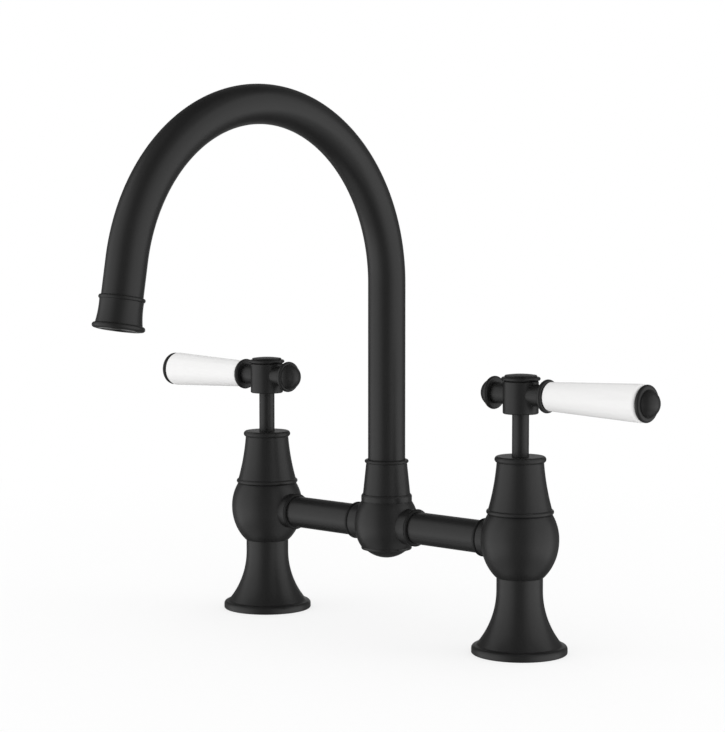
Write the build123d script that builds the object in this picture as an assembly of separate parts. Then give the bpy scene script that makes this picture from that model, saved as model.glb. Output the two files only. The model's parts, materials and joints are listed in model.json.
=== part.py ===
"""Bridge kitchen tap: two flared feet, a bridge with a centre body, two quarter-turn lever
valves and a tall swivelling gooseneck spout.

Units are millimetres.  The origin lies on the counter, midway between the two pillars.
X runs along the bridge with the hot side at -X, the spout reaches towards -Y and Z is up.
Every turned piece is drawn as an outline of (radius, height) points.
"""
from build123d import *
from math import asin, cos, pi, radians, sin, tan
import os

# ---------------------------------------------------------------- driving dimensions
# Layout of the tap
pillar_spacing = 200.0
bridge_above_foot = 19.7
lever_above_bonnet = 34.4

# Fits
thread_fit = 0.05
running_fit = 0.08
disc_fit = 0.15
open_clearance = 0.3
seal_nip = 0.02
rest_gap = 0.1

# Counter gasket, flush in a recess under the foot
gasket_thickness = 2.0
gasket_outer_radius = 23.0
gasket_inner_radius = 14.0

# Foot
foot_rim_radius = 26.95
foot_rim_height = 4.65
foot_rim_round = 2.0
foot_rim_under_round = 0.8
foot_step = 0.35
foot_flare_radius = 48.0
foot_neck_radius = 13.0
foot_neck_height = 7.3
foot_height = 42.8
inlet_thread_radius = 9.32
inlet_thread_depth = 15.0
water_bore_radius = 6.0
foot_spigot_radius = 10.0
foot_spigot_length = 8.0
foot_seal_section = 1.9

# Pillar body
bulb_radius = 21.9
bulb_middle_above_foot = 21.2
bulb_half_below = 26.8
bulb_half_above = 25.0
bulb_crown = 14.3
seat_web = 2.2
pillar_chamber_radius = 13.0
pillar_chamber_headroom = 1.1
pillar_socket_wall = 2.0
pillar_boss_length = 2.3
pillar_thread_radius = 15.5
pillar_thread_length = 3.2

# Bonnet over the valve
bonnet_bead_radius = 18.9
bonnet_bead_height = 2.7
bonnet_waist_radius = 17.8
bonnet_middle_radius = 15.23
bonnet_middle_height = 13.7
bonnet_shoulder_radius = 13.2
bonnet_shoulder_height = 28.9
bonnet_cap_bead_radius = 14.43
bonnet_cap_bead_height = 3.5
bonnet_wall = 1.9
bonnet_roof = 4.5

# Valve cartridge
cartridge_radius = 9.7
cartridge_wall = 1.95
cartridge_thread_height = 0.75
cartridge_thread_length = 6.5
cartridge_hex_across = 21.5
cartridge_hex_height = 5.0
cartridge_neck_radius = 8.2
cartridge_headroom = 3.2
cartridge_room = 10.0
window_width = 8.0
window_height = 7.0
window_rise = 0.5
seat_seal_height = 3.0
seat_seal_inner_radius = 5.2
disc_thickness = 2.5
disc_port_radius = 6.3
disc_port_web = 2.4
drive_lug_width = 3.0
drive_lug_depth = 1.2
driver_height = 3.0
thrust_collar_height = 1.4

# Spindle
spindle_radius = 4.73
spindle_above_lever = 1.9
spindle_seal_depth = 1.13
spindle_seal_width = 1.5
spindle_seal_spacing = 5.0
clip_groove_depth = 0.73
clip_thickness = 1.0
clip_radius = 7.0
clip_gap = 4.0
spline_tip_inset = 0.63
spline_tooth_depth = 0.5
spline_teeth = 20
spline_length = 11.0

# Lever hub
hub_radius = 10.0
hub_below_lever = 10.7
hub_height = 18.3
hub_bevel = 0.5
hub_web = 2.2
hub_wall = 2.6
neck_radius = 6.1
neck_length = 16.6
screw_radius = 2.0
screw_length = 9.0
screw_head_radius = 3.6
screw_head_height = 2.2
screw_socket_across = 2.5
screw_socket_depth = 1.4
screw_tip_space = 1.0

# Hub cap
cap_line = 0.15
cap_line_depth = 0.3
cap_bead_overhang = 0.95
cap_bead_height = 2.0
cap_disc_radius = 9.05
cap_disc_height = 1.0
cap_disc_bevel = 0.3
cap_crown = 0.7
cap_plug_depth = 1.0

# Collar and knob that close the two ends of the cross-bar
collar_line = 0.7
collar_line_depth = 0.6
collar_bead_crest = 9.35
collar_bead_half = 1.45
knob_dome_radius = 8.3
knob_dome_past_neck = 1.4
dome_line = 0.25
dome_line_depth = 0.4

# Ceramic grip and the rod that clamps it
rod_radius = 3.0
rod_start = 8.5
rod_in_cap = 2.75
grip_length = 60.45
grip_start_radius = 8.05
grip_end_radius = 10.4
grip_start_round = 0.5
grip_end_round = 2.0
grip_washer_radius = 7.0
grip_washer_thickness = 0.55
end_washer_thickness = 1.65
end_cap_bead_crest = 10.2
end_cap_bead_half = 1.5
end_cap_dome_radius = 8.2
end_cap_dome_in_bead = 0.45

# Bridge
tube_radius = 9.37
tube_wall = 1.47
bridge_boss_wall = 1.08
ring_width = 2.3
ring_bead = 0.77
ring_inset = 0.25
bridge_seal_depth = 0.77
bridge_seal_width = 1.2
bridge_seal_from_end = 3.0

# Centre body
centre_bulb_radius = 18.95
centre_bulb_below_bridge = 0.2
centre_half_below = 21.2
centre_half_above = 22.5
centre_foot_drop = 12.9
centre_crown = 14.2
centre_boss_length = 3.25
centre_socket_wall = 2.4
collar_band_radius = 14.95
collar_band_height = 3.0
centre_bevel_height = 1.0
centre_bevel = 0.65
mixing_radius = 12.6
mixing_above_bridge = 3.5
mixing_floor_gap = 0.6
gland_thread_height = 4.0
gland_thread_radius = 12.7

# Bottom cap of the centre body
plug_thread_radius = 10.5
plug_thread_length = 5.0
plug_ring_radius = 14.92
plug_ring_height = 1.7
plug_round = 0.8
plug_dome_base_radius = 12.4
plug_dome_step = 0.2
plug_dome_depth = 4.85
plug_seal_depth = 1.2
plug_seal_width = 1.8

# Spout gland
gland_base_radius = 13.95
gland_neck_wall = 0.8
gland_cone_height = 18.3
gland_bead_height = 2.1
gland_bead_rise = 0.9

# Spout
spout_radius = 10.95
spout_wall = 1.3
riser_height = 123.7
spout_bend_radius = 100.5
spout_bend_angle = 170.2
spout_tail = 26.2
spigot_radius = 9.4
spigot_wall = 2.0
spigot_entry = 0.8
spigot_sleeve_length = 12.6
spout_seal_width = 2.0
spout_seal_depth = 1.3
spout_seal_spacing = 2.8
spout_seal_below_groove = 3.3
retaining_groove_depth = 1.2
bush_flange = 0.8
bush_length = 4.6
bush_wall = 1.4

# Retaining screw of the spout, at the back of the centre body
retaining_screw_radius = 1.5
retaining_screw_tip = 1.1
retaining_screw_sink = 0.4
retaining_socket_across = 1.5
retaining_socket_depth = 1.4

# Outlet skirt and aerator
skirt_grip = 7.25
skirt_bead_radius = 12.2
skirt_bead_width = 2.15
skirt_waist_radius = 11.5
skirt_middle_radius = 11.6
skirt_middle_length = 9.05
skirt_flare_radius = 12.3
skirt_flare_length = 14.45
skirt_rim_crest = 13.78
skirt_rim_half = 1.45
aerator_radius = 11.05
aerator_wall = 0.9
aerator_lip_radius = 9.2
aerator_lip = 1.0
aerator_stand = 0.3
aerator_washer_inner = 8.4
aerator_washer_thickness = 1.8
insert_recess = 0.9
insert_thickness = 4.5
insert_hole_radius = 0.75
insert_hole_pitch = 2.3
insert_rings = 3

# ---------------------------------------------------------------- places that follow from them
# Pillar and lever, as heights above the counter
foot_flare_start = foot_rim_height + foot_step
foot_flare_top = foot_height - foot_neck_height
bridge_height = foot_height + bridge_above_foot
bulb_middle = foot_height + bulb_middle_above_foot
bulb_top = bulb_middle + bulb_crown
pillar_thread_top = bulb_top + pillar_thread_length
seat_height = foot_height + foot_spigot_length + seat_web
pillar_chamber_top = bridge_height + tube_radius - tube_wall + pillar_chamber_headroom
bonnet_middle = bulb_top + bonnet_middle_height
bonnet_shoulder = bulb_top + bonnet_shoulder_height
bonnet_top = bonnet_shoulder + bonnet_cap_bead_height
fixed_disc_bottom = seat_height + seat_seal_height
driver_bottom = fixed_disc_bottom + 2 * disc_thickness
cartridge_land = driver_bottom + cartridge_room
cartridge_top = bonnet_top - bonnet_roof - cartridge_headroom
clip_bottom = cartridge_top + rest_gap
lever_height = bonnet_top + lever_above_bonnet
spindle_top = lever_height + spindle_above_lever
hub_bottom = lever_height - hub_below_lever
hub_top = hub_bottom + hub_height

# Cross-bar, as distances from the pillar axis
bead_start = neck_length + collar_line
bead_end = bead_start + 2 * collar_bead_half
grip_start = bead_end + grip_washer_thickness
grip_end = grip_start + grip_length
end_cap_start = grip_end + end_washer_thickness
rod_end = end_cap_start + rod_in_cap

# Bridge, as distances from the middle of the tap
tube_inner_end = mixing_radius + centre_socket_wall
tube_outer_end = pillar_spacing / 2 - pillar_chamber_radius - pillar_socket_wall
centre_boss_end = centre_bulb_radius + centre_boss_length
pillar_boss_end = bulb_radius + pillar_boss_length
pillar_ring_start = pillar_spacing / 2 - pillar_boss_end - ring_width

# Centre body and spout, as heights above the counter
centre_bulb_middle = bridge_height - centre_bulb_below_bridge
centre_bottom = centre_bulb_middle - centre_foot_drop
plug_ring_bottom = centre_bottom - plug_ring_height
mixing_bottom = centre_bottom + plug_thread_length + mixing_floor_gap
mixing_top = bridge_height + mixing_above_bridge
collar_band_bottom = centre_bulb_middle + centre_crown
collar_band_top = collar_band_bottom + collar_band_height
centre_top = collar_band_top + centre_bevel_height
gland_thread_top = centre_top + gland_thread_height
bush_bottom = gland_thread_top - bush_length
bush_top = gland_thread_top + bush_flange
spout_bottom = bush_top + rest_gap
spigot_top = spout_bottom + spigot_sleeve_length
retaining_groove_height = (collar_band_bottom + collar_band_top) / 2
spout_bend_centre = centre_top + riser_height

# Outlet, as distances along the spout from the end of its bend
skirt_start = spout_tail - skirt_grip
skirt_flare_end = skirt_start + skirt_flare_length
skirt_end = skirt_flare_end + 2 * skirt_rim_half
aerator_start = spout_tail + aerator_washer_thickness
aerator_end = skirt_end + aerator_stand

# Radii that follow from a neighbour
cartridge_bore_radius = cartridge_radius - cartridge_wall
cartridge_thread_radius = cartridge_radius + cartridge_thread_height
disc_radius = cartridge_bore_radius - disc_fit
spindle_seal_root = spindle_radius - spindle_seal_depth
clip_groove_root = spindle_radius - clip_groove_depth
spline_tip_radius = spindle_radius - spline_tip_inset
spline_root_radius = spline_tip_radius - spline_tooth_depth
hub_recess_radius = hub_radius - hub_wall
cap_bead_radius = hub_radius + cap_bead_overhang
collar_line_radius = neck_radius - collar_line_depth
grip_bore_radius = rod_radius + open_clearance
tube_bore_radius = tube_radius - tube_wall
tube_socket_radius = tube_radius + thread_fit
bridge_boss_radius = tube_radius + bridge_boss_wall
ring_root_radius = bridge_boss_radius - ring_inset
ring_crest_radius = ring_root_radius + ring_bead
bridge_seal_root = tube_radius - bridge_seal_depth
centre_top_radius = collar_band_radius - centre_bevel
bush_bore_radius = spigot_radius + running_fit
bush_seat_radius = bush_bore_radius + bush_wall
spigot_bore_radius = spigot_radius - spigot_wall
gland_neck_radius = spout_radius + open_clearance + gland_neck_wall
gland_bead_radius = gland_neck_radius + gland_bead_rise


# ---------------------------------------------------------------- drawing helpers
def outline(start, *steps):
    """Closed face.  A step is the next corner, a (through, end) pair for an arc, or a curve."""
    edges = []
    here = start
    for step in steps:
        if isinstance(step, Edge):
            edges.append(step)
            here = tuple(step @ 1)[:2]
        elif isinstance(step[0], tuple):
            through, end = step
            edges.append(ThreePointArc(here, through, end))
            here = end
        else:
            edges.append(Line(here, step))
            here = step
    edges.append(Line(here, start))
    return make_face(edges)


def turned(start, *steps):
    """Solid of revolution about Z of an outline of (radius, height) points."""
    return revolve(Plane.XZ * outline(start, *steps), Axis.Z)


def rod(radius, bottom, top):
    """Round bar on the Z axis."""
    return Pos(0, 0, bottom) * extrude(Circle(radius), top - bottom)


def ring(outer, inner, bottom, top):
    """Plain washer or sleeve on the Z axis."""
    return rod(outer, bottom, top) - rod(inner, bottom, top)


def o_ring(inner, outer, height):
    """Rubber ring that fits between two radii."""
    section = (outer - inner) / 2
    return Pos(0, 0, height) * Torus(inner + section, section)


def half_round(root, crest, bottom, top):
    """Outline step for a rounded bead, from its lower to its upper edge."""
    return (crest, (bottom + top) / 2), (root, top)


def eased(start, corner, end):
    """Outline steps that replace a square corner by a quarter circle from start to end."""
    centre = [start[i] + end[i] - corner[i] for i in (0, 1)]
    through = tuple(centre[i] + (corner[i] - centre[i]) * 0.5**0.5 for i in (0, 1))
    return [start, (through, end)]


def ball(radius, centre):
    """Outline step for the end of a ball, to its tip on the axis."""
    half = radius * 0.5**0.5
    return (half, centre + half), (0, centre + radius)


def ball_radius_at(radius, centre, height):
    """Radius of a ball's circle at a height."""
    return (radius**2 - (height - centre) ** 2) ** 0.5


def crown(base_radius, base, tip):
    """Outline step for a dome of one sphere, from its base to its tip on the axis."""
    rise = tip - base
    sphere = (base_radius**2 + rise**2) / (2 * abs(rise))
    half = base_radius / 2
    sink = sphere - (sphere**2 - half**2) ** 0.5
    return (half, tip - sink * rise / abs(rise)), (0, tip)


def half_swell(radius, middle, half, edge):
    """Control points of a quarter-ellipse edge, from its narrow end at a height to its belly."""
    angle = asin((edge - middle) / half)
    pull = tan(angle / 4) * 4 / 3
    shape = [
        (cos(angle), sin(angle)),
        (cos(angle) + pull * sin(angle), sin(angle) - pull * cos(angle)),
        (1, pull),
        (1, 0),
    ]
    return [(radius * across, middle + half * up) for across, up in shape]


def swell(radius, middle, half_below, half_above, bottom, top):
    """The two elliptical edges of a bulb that is widest at its middle, from bottom to top."""
    lower = half_swell(radius, middle, -half_below, bottom)
    upper = half_swell(radius, middle, half_above, top)
    return Bezier(*lower), Bezier(*reversed(upper))


def flare_radius_at(height):
    """Radius of the foot's flare at a height: one arc that ends upright on the neck."""
    drop = foot_flare_top - height
    return foot_neck_radius + foot_flare_radius - (foot_flare_radius**2 - drop**2) ** 0.5


def hexagon_bar(across, bottom, top):
    """Hexagonal bar on the Z axis."""
    return Pos(0, 0, bottom) * extrude(RegularPolygon(across / 2, 6, major_radius=False), top - bottom)


def along_bar(solid, side):
    """Turn a piece made on Z so that it lies along the bridge, towards the side +1 or -1."""
    return Rot(Y=90 * side) * solid


# ---------------------------------------------------------------- feet
def foot():
    """Flared foot with a female inlet thread below and a male spigot above."""
    flare_mid = (foot_flare_start + foot_flare_top) / 2
    under_round = foot_rim_under_round
    foot_top = foot_height + foot_spigot_length
    body = turned(
        (0, 0),
        *eased(
            (foot_rim_radius - under_round, 0),
            (foot_rim_radius, 0),
            (foot_rim_radius, under_round),
        ),
        *eased(
            (foot_rim_radius, foot_rim_height - foot_rim_round),
            (foot_rim_radius, foot_rim_height),
            (foot_rim_radius - foot_rim_round, foot_rim_height),
        ),
        (flare_radius_at(foot_flare_start), foot_flare_start),
        ((flare_radius_at(flare_mid), flare_mid), (foot_neck_radius, foot_flare_top)),
        (foot_neck_radius, foot_height),
        (foot_spigot_radius, foot_height),
        (foot_spigot_radius, foot_top),
        (0, foot_top),
    )
    body -= rod(inlet_thread_radius, 0, inlet_thread_depth)
    body -= rod(water_bore_radius, inlet_thread_depth, foot_top)
    recess_outer = gasket_outer_radius + thread_fit
    recess_inner = gasket_inner_radius - thread_fit
    return body - ring(recess_outer, recess_inner, 0, gasket_thickness)


def foot_gasket():
    """Rubber ring in the recess under the foot."""
    return ring(gasket_outer_radius, gasket_inner_radius, 0, gasket_thickness)


def foot_seal():
    """Rubber ring round the foot's spigot, under the pillar body."""
    inner = foot_spigot_radius + seal_nip
    middle = foot_height + seal_nip + foot_seal_section / 2
    return o_ring(inner, inner + foot_seal_section, middle)


# ---------------------------------------------------------------- pillars
def bridge_socket(boss_end, chamber):
    """Boss and bore that take one end of a bridge tube, made along Z."""
    boss = rod(bridge_boss_radius, chamber, boss_end)
    bore = rod(tube_socket_radius, chamber, boss_end)
    port = rod(tube_bore_radius, 0, chamber)
    return boss, bore + port


def pillar_body(side):
    """Hollow bulb that joins foot, valve and bridge; its socket faces the middle of the tap."""
    lower, upper = swell(
        bulb_radius,
        bulb_middle,
        bulb_half_below,
        bulb_half_above,
        foot_height,
        bulb_top,
    )
    body = turned(
        (0, foot_height),
        tuple(lower @ 0)[:2],
        lower,
        upper,
        (pillar_thread_radius, bulb_top),
        (pillar_thread_radius, pillar_thread_top),
        (0, pillar_thread_top),
    )
    boss, socket = bridge_socket(pillar_boss_end, pillar_spacing / 2 - tube_outer_end)
    towards_middle = Pos(0, 0, bridge_height) * Rot(Y=-90 * side)
    body += towards_middle * boss
    body -= rod(foot_spigot_radius + thread_fit, foot_height, foot_height + foot_spigot_length)
    seal_space = foot_seal_section + 2 * seal_nip
    body -= rod(foot_spigot_radius + seal_space, foot_height, foot_height + seal_space)
    body -= rod(water_bore_radius, foot_height, seat_height)
    body -= rod(pillar_chamber_radius, seat_height, pillar_chamber_top)
    body -= rod(cartridge_thread_radius + thread_fit, pillar_chamber_top, pillar_thread_top)
    return body - towards_middle * socket


def bonnet():
    """Tapered shroud with a bead at both ends, screwed over the valve."""
    inner_top = bonnet_top - bonnet_roof
    bead_top = bulb_top + bonnet_bead_height
    bead = half_round(bonnet_waist_radius, bonnet_bead_radius, bulb_top, bead_top)
    cap_bead = half_round(bonnet_shoulder_radius, bonnet_cap_bead_radius, bonnet_shoulder, bonnet_top)
    shroud = turned(
        (0, bulb_top),
        (bonnet_waist_radius, bulb_top),
        bead,
        ((bonnet_middle_radius, bonnet_middle), (bonnet_shoulder_radius, bonnet_shoulder)),
        cap_bead,
        (0, bonnet_top),
    )
    hollow = turned(
        (0, bulb_top),
        (pillar_thread_radius + thread_fit, bulb_top),
        (pillar_thread_radius + thread_fit, pillar_thread_top),
        (bonnet_middle_radius - bonnet_wall, bonnet_middle),
        (bonnet_shoulder_radius - bonnet_wall, inner_top),
        (0, inner_top),
    )
    return shroud - hollow - rod(spindle_radius + open_clearance, inner_top, bonnet_top)


# ---------------------------------------------------------------- valve cartridge
def cartridge_body():
    """Brass housing with side windows, an external thread, a hexagon and a spindle bore."""
    bottom = fixed_disc_bottom
    hex_bottom = pillar_thread_top
    body = rod(cartridge_radius, bottom, hex_bottom)
    body += rod(cartridge_thread_radius, hex_bottom - cartridge_thread_length, hex_bottom)
    body += hexagon_bar(cartridge_hex_across, hex_bottom, hex_bottom + cartridge_hex_height)
    body += rod(cartridge_neck_radius, hex_bottom, cartridge_top)
    body -= rod(cartridge_bore_radius, bottom, cartridge_land)
    body -= rod(spindle_radius + running_fit, cartridge_land, cartridge_top)
    window_middle = driver_bottom + window_rise + window_height / 2
    window = Pos(0, 0, window_middle) * Box(3 * cartridge_radius, window_width, window_height)
    return body - window - Rot(Z=90) * window


def seat_seal():
    """Rubber ring that presses the cartridge on the seat of the pillar body."""
    return ring(cartridge_radius, seat_seal_inner_radius, seat_height, fixed_disc_bottom)


def port_pair():
    """Two opposite quarter openings of a ceramic disc."""
    reach = 2 * disc_radius
    quarter = make_face(Polyline((0, 0), (reach, -reach), (reach, reach), close=True))
    port = (Sketch() + Circle(disc_port_radius)) & (Pos(disc_port_web / 2, 0) * quarter)
    return port + Rot(Z=180) * port


def ceramic_disc(bottom):
    """Ceramic disc with two quarter ports."""
    blank = rod(disc_radius, bottom, bottom + disc_thickness)
    return blank - Pos(0, 0, bottom) * extrude(port_pair(), disc_thickness)


def fixed_disc():
    """Lower disc, with its ports in line with the bridge."""
    return ceramic_disc(fixed_disc_bottom)


def lug_slot(clearance):
    """The bar across the disc in which the driver turns it."""
    lug_middle = driver_bottom - drive_lug_depth / 2
    return Pos(0, 0, lug_middle) * Box(
        drive_lug_width + clearance,
        2 * disc_radius,
        drive_lug_depth,
    )


def moving_disc():
    """Upper disc, turned a quarter so that it closes the ports at rest."""
    disc = Rot(Z=90) * ceramic_disc(fixed_disc_bottom + disc_thickness)
    return disc - Rot(Z=90) * lug_slot(2 * thread_fit)


def spline_outline(growth):
    """Toothed outline of the spindle's top, grown by a clearance."""
    points = []
    for step in range(2 * spline_teeth):
        angle = pi * step / spline_teeth
        radius = growth + (spline_tip_radius if step % 2 == 0 else spline_root_radius)
        points.append((radius * cos(angle), radius * sin(angle)))
    return make_face(Polyline(*points, close=True))


def spindle_seal_heights():
    """Heights of the two rubber rings on the spindle."""
    first = pillar_thread_top + spindle_seal_spacing
    return (first, first + spindle_seal_spacing)


def spindle():
    """Valve spindle: driver, thrust collar, two seal grooves, clip groove and splined top."""
    shaft_top = spindle_top - spline_length
    shaft = rod(spindle_radius, driver_bottom, shaft_top)
    driver = rod(disc_radius, driver_bottom, driver_bottom + driver_height)
    driver_ports = extrude(Rot(Z=90) * port_pair(), driver_height)
    shaft += driver - Pos(0, 0, driver_bottom) * driver_ports
    collar_top = cartridge_land - rest_gap
    shaft += rod(disc_radius, collar_top - thrust_collar_height, collar_top)
    lug = lug_slot(0) & rod(disc_radius, fixed_disc_bottom, driver_bottom)
    shaft += Rot(Z=90) * lug
    shaft += Pos(0, 0, shaft_top) * extrude(spline_outline(0), spline_length)
    for height in spindle_seal_heights():
        half = spindle_seal_width / 2
        shaft -= ring(spindle_radius, spindle_seal_root, height - half, height + half)
    shaft -= ring(spindle_radius, clip_groove_root, clip_bottom, clip_bottom + clip_thickness)
    tapped_bottom = spindle_top + hub_web - screw_length - screw_tip_space
    return shaft - rod(screw_radius + thread_fit, tapped_bottom, spindle_top)


def spindle_seals():
    """The two rubber rings of the spindle."""
    outer = spindle_radius + running_fit - seal_nip
    return [o_ring(spindle_seal_root + seal_nip, outer, height) for height in spindle_seal_heights()]


def spindle_clip():
    """Open clip that keeps the spindle in the cartridge."""
    clip = ring(clip_radius, clip_groove_root + seal_nip, clip_bottom, clip_bottom + clip_thickness)
    mouth = Pos(0, clip_radius, clip_bottom + clip_thickness / 2) * Box(
        clip_gap, 2 * clip_radius, 2 * clip_thickness
    )
    return clip - mouth


# ---------------------------------------------------------------- lever
def lever_hub():
    """Turned hub with two necks; splined from below and recessed for the screw from above."""
    hub = turned(
        (0, hub_bottom),
        (hub_radius - hub_bevel, hub_bottom),
        (hub_radius, hub_bottom + hub_bevel),
        (hub_radius, hub_top - hub_bevel),
        (hub_radius - hub_bevel, hub_top),
        (0, hub_top),
    )
    bar = Rot(Y=90) * rod(neck_radius, -neck_length, neck_length)
    hub += Pos(0, 0, lever_height) * bar
    spline_bottom = spindle_top - spline_length
    hub -= rod(spindle_radius + thread_fit, hub_bottom, spline_bottom)
    hub -= Pos(0, 0, spline_bottom) * extrude(spline_outline(thread_fit), spline_length)
    hub -= rod(screw_radius + open_clearance, spindle_top, spindle_top + hub_web)
    hub -= rod(hub_recess_radius, spindle_top + hub_web, hub_top)
    for side in (1, -1):
        socket = along_bar(rod(rod_radius + thread_fit, rod_start, neck_length), side)
        hub -= Pos(0, 0, lever_height) * socket
    return hub


def lever_screw():
    """Screw that holds the hub on the spindle, hidden by the hub cap."""
    seat = spindle_top + hub_web
    top = seat + screw_head_height
    screw = rod(screw_radius, seat - screw_length, seat)
    screw += rod(screw_head_radius, seat, top)
    return screw - hexagon_bar(screw_socket_across, top - screw_socket_depth, top)


def hub_cap():
    """Beaded cap with a slightly crowned disc, pressed into the hub."""
    bottom = hub_top + cap_line
    bead_top = bottom + cap_bead_height
    bead_root = cap_bead_radius - cap_bead_height / 2
    disc_top = bead_top + cap_disc_height
    crown_radius = cap_disc_radius - cap_disc_bevel
    cap = turned(
        (0, hub_top),
        (bead_root - cap_line_depth, hub_top),
        (bead_root - cap_line_depth, bottom),
        (bead_root, bottom),
        half_round(bead_root, cap_bead_radius, bottom, bead_top),
        (crown_radius, bead_top),
        (cap_disc_radius, bead_top + cap_disc_bevel),
        (cap_disc_radius, disc_top - cap_disc_bevel),
        (crown_radius, disc_top),
        crown(crown_radius, disc_top, disc_top + cap_crown),
    )
    return cap + rod(hub_recess_radius - thread_fit, hub_top - cap_plug_depth, hub_top)


def bead_steps(start, crest, half):
    """Outline steps of a full bead that begins at a distance along the bar."""
    root = crest - half
    return [(root, start), half_round(root, crest, start, start + 2 * half)]


def grip_collar():
    """Beaded collar between the neck and the ceramic grip."""
    collar = turned(
        (0, neck_length),
        (collar_line_radius, neck_length),
        (collar_line_radius, bead_start),
        *bead_steps(bead_start, collar_bead_crest, collar_bead_half),
        (0, bead_end),
    )
    return collar - rod(rod_radius + thread_fit, neck_length, bead_end)


def knob():
    """Domed knob that closes the inner end of the cross-bar, on its own stud."""
    dome_start = bead_end + dome_line
    dome_centre = neck_length + knob_dome_past_neck
    dome_base = ball_radius_at(knob_dome_radius, dome_centre, dome_start)
    dome = turned(
        (0, neck_length),
        (collar_line_radius, neck_length),
        (collar_line_radius, bead_start),
        *bead_steps(bead_start, collar_bead_crest, collar_bead_half),
        (dome_base - dome_line_depth, bead_end),
        (dome_base, dome_start),
        ball(knob_dome_radius, dome_centre),
    )
    return dome + rod(rod_radius, rod_start, neck_length)


def grip_rod():
    """Threaded rod through the ceramic grip."""
    return rod(rod_radius, rod_start, rod_end)


def grip_taper(distance):
    """Outer radius of the ceramic grip at a distance from the hub axis."""
    share = (distance - grip_start) / (grip_end - grip_start)
    return grip_start_radius + share * (grip_end_radius - grip_start_radius)


def ceramic_grip():
    """Hollow tapered grip, wider and well rounded at its outer end."""
    near = grip_start + grip_start_round
    far = grip_end - grip_end_round
    grip = turned(
        (0, grip_start),
        *eased(
            (grip_taper(near) - grip_start_round, grip_start),
            (grip_taper(near), grip_start),
            (grip_taper(near), near),
        ),
        *eased(
            (grip_taper(far), far),
            (grip_taper(far), grip_end),
            (grip_taper(far) - grip_end_round, grip_end),
        ),
        (0, grip_end),
    )
    return grip - rod(grip_bore_radius, grip_start, grip_end)


def grip_washers():
    """Soft washers at both ends of the ceramic grip."""
    return [
        ring(grip_washer_radius, rod_radius + seal_nip, bead_end, grip_start),
        ring(grip_washer_radius, rod_radius + seal_nip, grip_end, end_cap_start),
    ]


def end_cap():
    """Beaded and domed nut that clamps the grip."""
    bead_far = end_cap_start + 2 * end_cap_bead_half
    dome_start = bead_far + dome_line
    dome_centre = end_cap_start + end_cap_dome_in_bead
    dome_base = ball_radius_at(end_cap_dome_radius, dome_centre, dome_start)
    nut = turned(
        (0, end_cap_start),
        *bead_steps(end_cap_start, end_cap_bead_crest, end_cap_bead_half),
        (dome_base - dome_line_depth, bead_far),
        (dome_base, dome_start),
        ball(end_cap_dome_radius, dome_centre),
    )
    return nut - rod(rod_radius + thread_fit, end_cap_start, rod_end + open_clearance)


# ---------------------------------------------------------------- bridge
def bridge_tube():
    """Water tube between the centre body and a pillar, with a seal groove near each end."""
    tube = ring(tube_radius, tube_bore_radius, tube_inner_end, tube_outer_end)
    half = bridge_seal_width / 2
    for middle in bridge_seal_places():
        tube -= ring(tube_radius, bridge_seal_root, middle - half, middle + half)
    return tube


def bridge_seal_places():
    """Distances from the tap's middle to the seals of a bridge tube."""
    return (tube_inner_end + bridge_seal_from_end, tube_outer_end - bridge_seal_from_end)


def bridge_ring(start):
    """Beaded lock ring on a tube, at the mouth of a boss."""
    end = start + ring_width
    body = turned(
        (0, start),
        (ring_root_radius, start),
        half_round(ring_root_radius, ring_crest_radius, start, end),
        (0, end),
    )
    return body - rod(tube_socket_radius, start, end)


def bridge_seals():
    """The two rubber rings of one bridge tube."""
    inner = bridge_seal_root + seal_nip
    outer = tube_socket_radius - seal_nip
    return [o_ring(inner, outer, place) for place in bridge_seal_places()]


# ---------------------------------------------------------------- centre body
def centre_body():
    """Hollow bulb that mixes the two streams and carries the spout."""
    lower, upper = swell(
        centre_bulb_radius,
        centre_bulb_middle,
        centre_half_below,
        centre_half_above,
        centre_bottom,
        collar_band_bottom,
    )
    body = turned(
        (0, centre_bottom),
        tuple(lower @ 0)[:2],
        lower,
        upper,
        (collar_band_radius, collar_band_bottom),
        (collar_band_radius, collar_band_top),
        (centre_top_radius, centre_top),
        (gland_thread_radius, centre_top),
        (gland_thread_radius, gland_thread_top),
        (0, gland_thread_top),
    )
    boss, socket = bridge_socket(centre_boss_end, tube_inner_end)
    sides = [Pos(0, 0, bridge_height) * Rot(Y=90 * side) for side in (1, -1)]
    for side in sides:
        body += side * boss
    for side in sides:
        body -= side * socket
    body -= rod(plug_thread_radius + thread_fit, centre_bottom, mixing_bottom)
    body -= rod(mixing_radius, mixing_bottom, mixing_top)
    body -= rod(bush_bore_radius, mixing_top, bush_bottom)
    body -= rod(bush_seat_radius, bush_bottom, gland_thread_top)
    screw_hole = Rot(X=-90) * rod(retaining_screw_radius + thread_fit, 0, centre_bulb_radius)
    return body - Pos(0, 0, retaining_groove_height) * screw_hole


def bottom_cap():
    """Domed plug with a flat ring, screwed into the centre body from below."""
    dome_top = plug_ring_bottom - plug_dome_step
    dome_through, tip = crown(plug_dome_base_radius, dome_top, dome_top - plug_dome_depth)
    cap = turned(
        tip,
        (dome_through, (plug_dome_base_radius, dome_top)),
        (plug_dome_base_radius, plug_ring_bottom),
        *eased(
            (plug_ring_radius - plug_round, plug_ring_bottom),
            (plug_ring_radius, plug_ring_bottom),
            (plug_ring_radius, plug_ring_bottom + plug_round),
        ),
        (plug_ring_radius, centre_bottom),
        (0, centre_bottom),
    )
    cap += rod(plug_thread_radius, centre_bottom, centre_bottom + plug_thread_length)
    groove_radius = plug_thread_radius + plug_seal_width
    groove = ring(groove_radius, plug_thread_radius, centre_bottom - plug_seal_depth, centre_bottom)
    return cap - groove


def bottom_cap_seal():
    """Rubber ring in the groove of the bottom cap."""
    inner = plug_thread_radius + seal_nip
    outer = inner + plug_seal_depth - 2 * seal_nip
    return o_ring(inner, outer, centre_bottom - plug_seal_depth / 2)


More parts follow.
